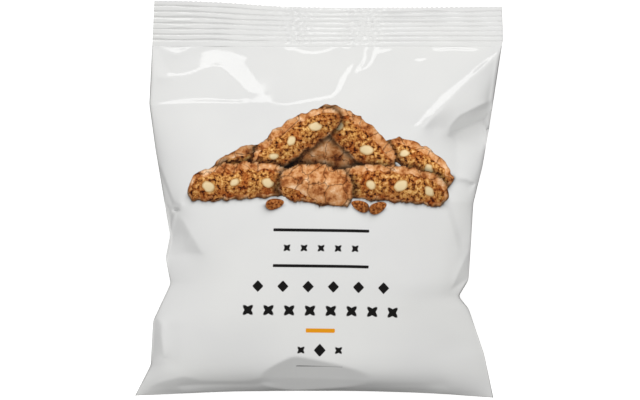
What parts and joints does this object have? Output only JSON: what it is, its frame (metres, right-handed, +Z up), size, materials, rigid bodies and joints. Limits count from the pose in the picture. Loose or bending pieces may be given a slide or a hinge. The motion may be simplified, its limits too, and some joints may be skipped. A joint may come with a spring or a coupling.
{
  "type": "filled pillow pack of biscotti",
  "caption": "Shut, filled snack pack of white film lying on its back: a plump pillow with a ribbed crimp seal at the top, a tucked-under bottom seal and a lap seam.",
  "frame": {"origin": "on the table under the middle of the pack's outline, seal included", "axes": "+X across the pack, +Y along it towards the top seal, +Z up out of the printed front"},
  "size_m": [0.1232, 0.1338, 0.0346],
  "materials": {
    "film": "glossy"
  },
  "bodies": {
    "root": {"film_pack": "film"}
  },
  "joints": []
}
